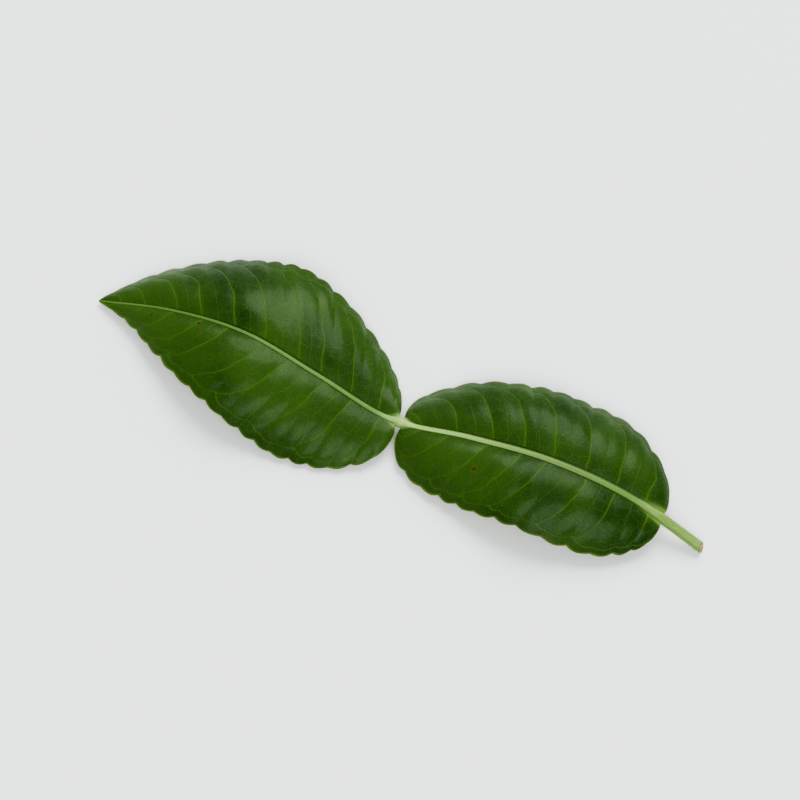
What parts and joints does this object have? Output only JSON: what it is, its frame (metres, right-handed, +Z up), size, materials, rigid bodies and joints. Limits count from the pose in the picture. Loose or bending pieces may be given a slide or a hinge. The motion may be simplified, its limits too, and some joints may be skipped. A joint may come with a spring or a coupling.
{
  "type": "kaffir lime leaf",
  "caption": "Cut citrus leaf with a broad winged petiole, a narrow joint and an ovate blade, lying top side up on its margins.",
  "frame": {"origin": "centre of the leaf's bounding box, on the surface it lies on", "axes": "+X along the leaf towards the cut end of the petiole, the blade's tip towards -X; +Z up, out of the leaf's upper side"},
  "size_m": [0.1178, 0.035, 0.0085],
  "materials": {
    "leaf": "waxy semi-gloss dark green above, paler and matte beneath"
  },
  "bodies": {
    "root": {"kaffir_lime_leaf": "leaf"}
  },
  "joints": []
}
